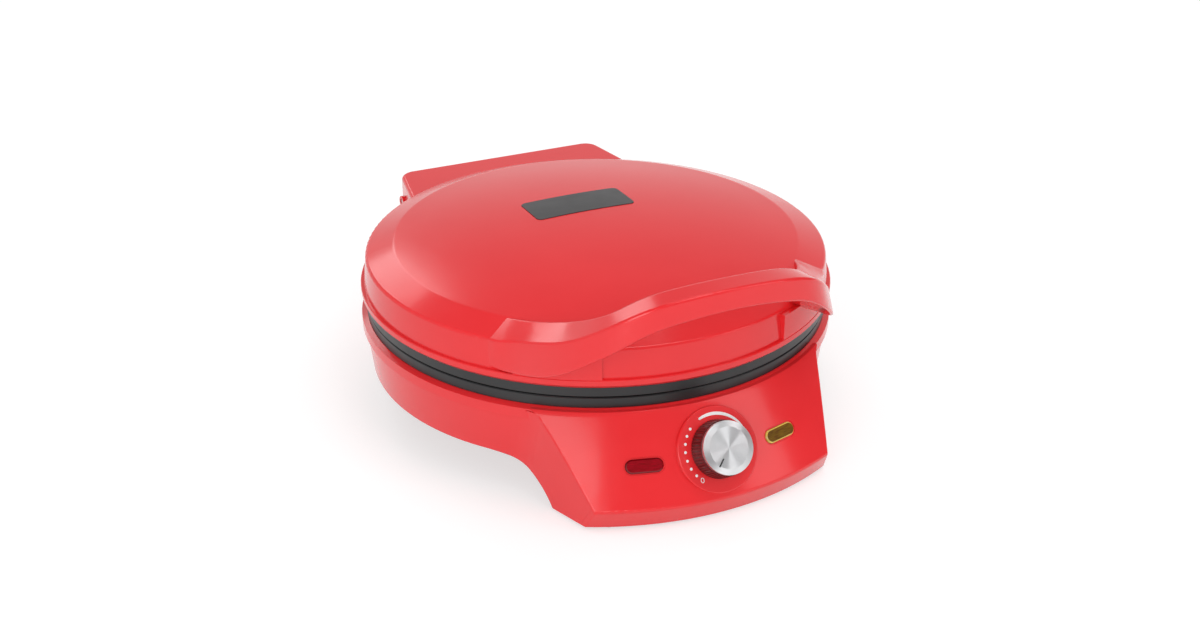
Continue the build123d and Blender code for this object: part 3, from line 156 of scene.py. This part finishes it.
def bump(tree, bsdf, height, strength):
    node = tree.nodes.new("ShaderNodeBump")
    node.inputs["Strength"].default_value = strength
    node.inputs["Distance"].default_value = GRAIN_HEIGHT
    tree.links.new(height, node.inputs["Height"])
    tree.links.new(node.outputs["Normal"], bsdf.inputs["Normal"])


def round_the_axis(tree):
    """Offset from the dial's centre, and its cross product with the knob's axis, which points
    round the axis and is as long as the distance from it."""
    geometry = tree.nodes.new("ShaderNodeNewGeometry")
    arm = vectors(tree, "SUBTRACT", geometry.outputs["Position"], DIAL)
    return arm, vectors(tree, "CROSS_PRODUCT", arm, NORMAL)


# Materials, all made of nodes
def wander(tree):
    """0 to 1, slowly changing over the piece."""
    return spread(tree, noise(tree, TONE_SCALE))


def painted_groove_shade(tree):
    """0 in the grooves of the knob's skirt and 1 on its ribs, told by the distance from the axis: a
    mask that paints shade into the grooves.
    """
    arm, across = round_the_axis(tree)
    height = vectors(tree, "DOT_PRODUCT", arm, NORMAL)
    reach = maths(tree, "MULTIPLY_ADD", height, RIB_LEAN, vectors(tree, "LENGTH", across))
    return remap(tree, reach, GROOVE_R, RIB_R)


def surface(name, dark, light, rough, tone=wander, grain=900.0, grain_strength=0.15,
            stretch=(1, 1, 1), metallic=0.0, coat=0.0, coat_rough=0.05, specular=0.5):
    """A finish between two tones, with a roughness that varies and a fine grain."""
    material, tree, bsdf = shader(name)
    tree.links.new(two_tone(tree, tone(tree), dark, light), bsdf.inputs["Base Color"])
    smears = noise(tree, SMEAR_SCALE, 4.0)
    tree.links.new(spread(tree, smears, *rough), bsdf.inputs["Roughness"])
    bump(tree, bsdf, noise(tree, grain, 2.0, stretch), grain_strength)
    bsdf.inputs["Metallic"].default_value = metallic
    bsdf.inputs["Coat Weight"].default_value = coat
    bsdf.inputs["Coat Roughness"].default_value = coat_rough
    bsdf.inputs["Specular IOR Level"].default_value = specular
    return material


def lens_material(name, dark, light, edge):
    """Coloured lens: fluted and deep over its flat top, with another tone painted on its bevelled
    edge as painted light: a painted highlight on the amber lens, painted shade on the red.
    """
    material, tree, bsdf = shader(name)
    flutes = noise(tree, 420.0, 1.0, (0.3, 1, 4))
    inner = two_tone(tree, spread(tree, flutes), dark, light)
    geometry = tree.nodes.new("ShaderNodeNewGeometry")
    facing = vectors(tree, "DOT_PRODUCT", geometry.outputs["Normal"], NORMAL)
    # Bevel faces, told by how far they turn from the dial's normal, take the edge tone as painted
    # light
    painted_bevel_mask = remap(tree, facing, 0.93, 0.8)
    tree.links.new(two_tone(tree, painted_bevel_mask, inner, edge), bsdf.inputs["Base Color"])
    tree.links.new(spread(tree, noise(tree, 90.0), 0.05, 0.09), bsdf.inputs["Roughness"])
    bsdf.inputs["Specular IOR Level"].default_value = 0.35
    bsdf.inputs["Coat Weight"].default_value = 0.15
    bsdf.inputs["Coat Roughness"].default_value = 0.03
    return material


def glass_material(name):
    """Clear glass of a neon lamp."""
    material, tree, bsdf = shader(name)
    bsdf.inputs["Transmission Weight"].default_value = 1.0
    bsdf.inputs["IOR"].default_value = 1.47
    tree.links.new(spread(tree, noise(tree, 200.0), 0.02, 0.07), bsdf.inputs["Roughness"])
    return material


def turned_material(name):
    """Turned aluminium: fine rings about the knob's axis, with a highlight that fans out."""
    material, tree, bsdf = shader(name)
    across = round_the_axis(tree)[1]
    tree.links.new(vectors(tree, "NORMALIZE", across), bsdf.inputs["Tangent"])
    rings = tree.nodes.new("ShaderNodeTexNoise")
    rings.noise_dimensions = "1D"
    rings.inputs["Scale"].default_value = 3500.0
    rings.inputs["Detail"].default_value = 3.0
    tree.links.new(vectors(tree, "LENGTH", across), rings.inputs["W"])
    fac = rings.outputs["Fac"]
    tree.links.new(two_tone(tree, fac, (0.8, 0.8, 0.815), (0.92, 0.92, 0.935)),
                   bsdf.inputs["Base Color"])
    tree.links.new(spread(tree, fac, 0.34, 0.42), bsdf.inputs["Roughness"])
    bump(tree, bsdf, fac, 0.08)
    bsdf.inputs["Metallic"].default_value = 1.0
    bsdf.inputs["Anisotropic"].default_value = 0.97
    return material


red = surface("red_gloss_plastic", (0.77, 0.022, 0.027), (0.8, 0.027, 0.032), (0.15, 0.19),
              coat=0.1, coat_rough=0.06, grain_strength=0.06, specular=0.42)
white_ink = surface("white_ink", (0.86, 0.86, 0.86), (0.9, 0.9, 0.9), (0.4, 0.5))
black_ink = surface("black_ink", (0.01, 0.01, 0.011), (0.016, 0.016, 0.017), (0.4, 0.5))
finishes = {
    "red_plastic": red,
    "black_nonstick": surface(
        "black_nonstick", (0.01, 0.01, 0.011), (0.018, 0.018, 0.019), (0.34, 0.42),
        grain=2600.0, grain_strength=0.35),
    "steel": surface(
        "plain_steel", (0.5, 0.5, 0.51), (0.62, 0.62, 0.63), (0.24, 0.36), metallic=1.0,
        grain=700.0, stretch=(1, 8, 8), grain_strength=0.1),
    "turned_aluminium": turned_material("turned_aluminium"),
    # Knob skirt: the plastic's own dark red on the ribs, and near black in the grooves as painted
    # shade
    "knob_plastic": surface(
        "knob_plastic", (0.006, 0.0006, 0.0008), (0.12, 0.01, 0.012), (0.26, 0.36),
        tone=painted_groove_shade, coat=0.2),
    "dark_plastic": surface(
        "dark_plastic", (0.02, 0.02, 0.022), (0.032, 0.032, 0.034), (0.42, 0.52),
        grain=1800.0, grain_strength=0.35),
    "black_rubber": surface(
        "black_rubber", (0.018, 0.018, 0.018), (0.03, 0.03, 0.03), (0.7, 0.82),
        grain=1500.0, grain_strength=0.4),
    "element_sheath": surface(
        "element_sheath", (0.16, 0.13, 0.11), (0.34, 0.31, 0.28), (0.38, 0.55), metallic=1.0),
    "white_ceramic": surface("white_ceramic", (0.76, 0.74, 0.69), (0.83, 0.82, 0.78), (0.35, 0.5)),
    "thermostat_body": surface(
        "thermostat_body", (0.07, 0.04, 0.028), (0.1, 0.06, 0.04), (0.4, 0.55)),
    # The last tone of each lens paints light on its bevel: painted shade on the red lens, a painted
    # highlight on the amber lens
    "red_lens": lens_material(
        "red_lens", (0.2, 0.0, 0.003), (0.32, 0.0, 0.009), (0.17, 0.0, 0.003)),
    "amber_lens": lens_material(
        "amber_lens", (0.1, 0.042, 0.003), (0.19, 0.1, 0.004), (0.72, 0.56, 0.11)),
    "lamp_glass": glass_material("lamp_glass"),
    "nameplate_metal": surface(
        "nameplate_metal", (0.04, 0.038, 0.039), (0.055, 0.052, 0.053), (0.3, 0.38),
        grain=1200.0, stretch=(1, 14, 1), grain_strength=0.12),
}
slots = {part["node"]: part["material_slot"] for part in frame["record"]["subparts"]}
for name, node in nodes.items():
    finish = finishes[slots[name]]
    if node.data.materials:
        for index in range(len(node.data.materials)):
            node.material_slots[index].material = finish
    else:
        node.data.materials.append(finish)


def build(name, made, material):
    """Object made from a bmesh, which is freed."""
    mesh = bpy.data.meshes.new(name)
    made.to_mesh(mesh)
    made.free()
    mesh.materials.append(material)
    piece = bpy.data.objects.new(name, mesh)
    bpy.context.collection.objects.link(piece)
    return piece


# Printing on the dial, in the dial's own plane: u to the right and v up the slope, in millimetres
INK_LIFT = 0.00005


def on_dial(u, v, lift):
    return DIAL + Vector((u / 1000, 0.0, 0.0)) + SLOPE_UP * (v / 1000) + NORMAL * lift


def printed(name, outlines, material=white_ink, body="base", lift=INK_LIFT):
    """Thin flat marks given as closed outlines on the dial, raised by lift in metres."""
    made = bmesh.new()
    for outline in outlines:
        face = made.faces.new([made.verts.new(on_dial(u, v, lift)) for u, v in outline])
        face.normal_update()
        if face.normal.dot(NORMAL) < 0:
            face.normal_flip()
    piece = build(name, made, material)
    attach(piece, body)


def polar(radius, degrees):
    return radius * math.cos(math.radians(degrees)), radius * math.sin(math.radians(degrees))


def disc(u, v, radius, count=20):
    turns = [360 * i / count for i in range(count)]
    return [(u + x, v + y) for x, y in (polar(radius, a) for a in turns)]


def ring(u, v, half_width, half_height, stroke, count=28):
    """Oval line as a row of quads."""
    quads = []
    for i in range(count):
        (ca, sa), (cb, sb) = polar(1, 360 * i / count), polar(1, 360 * (i + 1) / count)
        in_width, in_height = half_width - stroke, half_height - stroke
        quads.append([(u + half_width * ca, v + half_height * sa),
                      (u + half_width * cb, v + half_height * sb),
                      (u + in_width * cb, v + in_height * sb),
                      (u + in_width * ca, v + in_height * sa)])
    return quads


def band(radius, start, stop, widths, count=40):
    """Arc whose width goes through the given widths from its start to its stop."""
    first, middle, last = widths
    quads = []
    for i in range(count):
        s, t = i / count, (i + 1) / count
        a, b = start + (stop - start) * s, start + (stop - start) * t
        wa, wb = (first * (1 - x) ** 2 + 2 * middle * x * (1 - x) + last * x**2 for x in (s, t))
        quads.append([polar(radius + wa / 2, a), polar(radius + wb / 2, b),
                      polar(radius - wb / 2, b), polar(radius - wa / 2, a)])
    return quads


SCALE_R = 23.3
DOT_TURNS = (134, 147, 160, 173, 187, 201, 215)
ARC_START, ARC_STOP = 110.5, 28.0
printed("dial_dots", [disc(*polar(SCALE_R, a), 0.95) for a in DOT_TURNS])
printed("dial_arc", band(SCALE_R, ARC_START, ARC_STOP, (1.6, 2.9, 0.9))
        + [disc(*polar(SCALE_R, ARC_START), 0.8)])
printed("dial_zero", ring(*polar(SCALE_R, 227.5), 1.25, 1.75, 0.42))

# Pointer line inlaid in the groove of the knob's cap, just above the groove's floor
POINTER_TURN = 228.0
POINTER_START, POINTER_STOP, POINTER_HALF = 8.1, 14.3, 0.5
KNOB_TOP, INLAY_DEPTH = 0.0168, 0.00035
along = Vector(polar(1, POINTER_TURN))
aside = Vector((-along.y, along.x))
corners = [along * r + aside * w for r, w in (
    (POINTER_START, -POINTER_HALF), (POINTER_STOP, -POINTER_HALF),
    (POINTER_STOP, POINTER_HALF), (POINTER_START, POINTER_HALF))]
printed("knob_pointer", [corners], black_ink, "knob", KNOB_TOP - INLAY_DEPTH)

# The panel's top edge, which runs up over the bowl's lip as in the photograph, in millimetres
LIP_R, LIP_Z = 170.0, 70.6
PANEL_TOP_R, PANEL_TOP_Z = 172.5, 67.5
PANEL_FLARE = math.radians(34.0)
EDGE_PROUD = 0.06
EDGE_STEPS = 96


def panel_radius(z):
    """Radius of the panel's flared face, carried on upward, with the edge just proud of it."""
    return PANEL_TOP_R + (PANEL_TOP_Z - z) * math.tan(PANEL_FLARE) + EDGE_PROUD


# Corners of the edge's section, as radius, height and half of the angle that it runs through
foot_z, shoulder_z, top_z = PANEL_TOP_Z - 0.25, LIP_Z - 1.1, LIP_Z - 0.6
edge_section = [(panel_radius(foot_z), foot_z, 37.35),
                (panel_radius(shoulder_z), shoulder_z, 38.9),
                (panel_radius(top_z) - 0.2, top_z, 39.1),
                (LIP_R - 2.0, top_z, 39.1),
                (LIP_R - 2.0, PANEL_TOP_Z, 37.6)]
made = bmesh.new()
rows = []
for i in range(EDGE_STEPS + 1):
    row = []
    for radius, z, half in edge_section:
        a = math.radians(half * (2 * i / EDGE_STEPS - 1))
        row.append(made.verts.new((radius * math.sin(a) / 1000, -radius * math.cos(a) / 1000,
                                   z / 1000)))
    rows.append(row)
count = len(edge_section)
for low, high in zip(rows, rows[1:]):
    for j in range(count):
        made.faces.new((low[j], high[j], high[(j + 1) % count], low[(j + 1) % count]))
made.faces.new(rows[0])
made.faces.new(rows[-1][::-1])
bmesh.ops.recalc_face_normals(made, faces=made.faces[:])
for face in made.faces:
    face.smooth = True
for edge in made.edges:
    edge.smooth = edge.calc_face_angle(0.0) <= math.radians(20)
panel_edge = build("panel_top_edge", made, red)
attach(panel_edge, "base")

# Floor: it takes the object's shadow and, to the eye, glows to near white
FLOOR_HALF = 14.0
FLOOR_GLOW = 0.63
floor_material, tree, bsdf = shader("pale_floor")
bsdf.inputs["Roughness"].default_value = 0.6
bsdf.inputs["Specular IOR Level"].default_value = 0.15
path = tree.nodes.new("ShaderNodeLightPath")
seen = path.outputs["Is Camera Ray"]
for kind in ("Is Glossy Ray", "Is Transmission Ray"):
    seen = maths(tree, "MAXIMUM", seen, path.outputs[kind])
tree.links.new(two_tone(tree, seen, (0.8, 0.8, 0.8), (0.43, 0.5, 0.5)), bsdf.inputs["Base Color"])
glow = tree.nodes.new("ShaderNodeEmission")
glow.inputs["Color"].default_value = (1.0, 0.914, 0.914, 1)
tree.links.new(maths(tree, "MULTIPLY", seen, FLOOR_GLOW), glow.inputs["Strength"])
both = tree.nodes.new("ShaderNodeAddShader")
tree.links.new(bsdf.outputs[0], both.inputs[0])
tree.links.new(glow.outputs[0], both.inputs[1])
tree.links.new(both.outputs[0], tree.nodes["Material Output"].inputs["Surface"])
made = bmesh.new()
bmesh.ops.create_grid(made, x_segments=1, y_segments=1, size=FLOOR_HALF)
floor = build("floor", made, floor_material)

# The room: white to the eye, and in the gloss paler near the horizon than overhead. Two dark
# screens in the gloss, to the right of the panel and before it, keep the panel deep red. Each has
# the direction of its middle, the cosines at its core and at its rim, and the level in its core.
ROOM_LIGHT = 0.6
SCREENS = [
    ((0.974, -0.085, 0.208), 0.95, 0.8, 0.1),
    ((-0.034, -0.965, 0.259), 0.93, 0.82, 0.45),
]
world = bpy.data.worlds.new("studio")
bpy.context.scene.world = world
world.use_nodes = True
tree = world.node_tree
place = tree.nodes.new("ShaderNodeTexCoord")
split = tree.nodes.new("ShaderNodeSeparateXYZ")
tree.links.new(place.outputs["Generated"], split.inputs[0])
gloss = remap(tree, split.outputs["Z"], 0.0, 0.95, 0.92, 0.08)
for middle, core, rim, level in SCREENS:
    toward = vectors(tree, "DOT_PRODUCT", place.outputs["Generated"], middle)
    screen = remap(tree, toward, rim, core, 1.0, level, "SMOOTHSTEP")
    gloss = maths(tree, "MULTIPLY", gloss, screen)
path = tree.nodes.new("ShaderNodeLightPath")
strength = ROOM_LIGHT
for kind, value in (("Is Glossy Ray", gloss), ("Is Transmission Ray", 1.0), ("Is Camera Ray", 1.0)):
    strength = mix(tree, path.outputs[kind], strength, value)
background = tree.nodes["Background"]
background.inputs["Color"].default_value = (1, 1, 1, 1)
tree.links.new(strength, background.inputs["Strength"])

# Area lamps: name, place, watts, width and height. All point at AIM.
AIM = Vector((0, 0, 0.1))
LAMPS = [
    ("rear_softbox", (-0.15, 2.3, 1.5), 5.8, 0.8, 1.0),
    ("rear_top_softbox", (0.5, 0.9, 2.2), 2.0, 0.8, 0.4),
    ("top_front", (0.4, -0.8, 2.5), 14.0, 1.2, 1.2),
    ("left_front", (-1.7, -1.9, 0.95), 27.0, 1.6, 1.6),
    ("right_front", (1.5, -1.56, 1.35), 5.6, 0.8, 1.65),
]
for name, place, watts, width, height in LAMPS:
    data = bpy.data.lights.new(name, "AREA")
    data.shape = "RECTANGLE"
    data.size = width
    data.size_y = height
    data.energy = watts
    lamp = bpy.data.objects.new(name, data)
    lamp.location = place
    lamp.rotation_euler = (AIM - Vector(place)).to_track_quat("-Z", "Y").to_euler()
    bpy.context.collection.objects.link(lamp)

bpy.context.scene.view_settings.view_transform = "Standard"
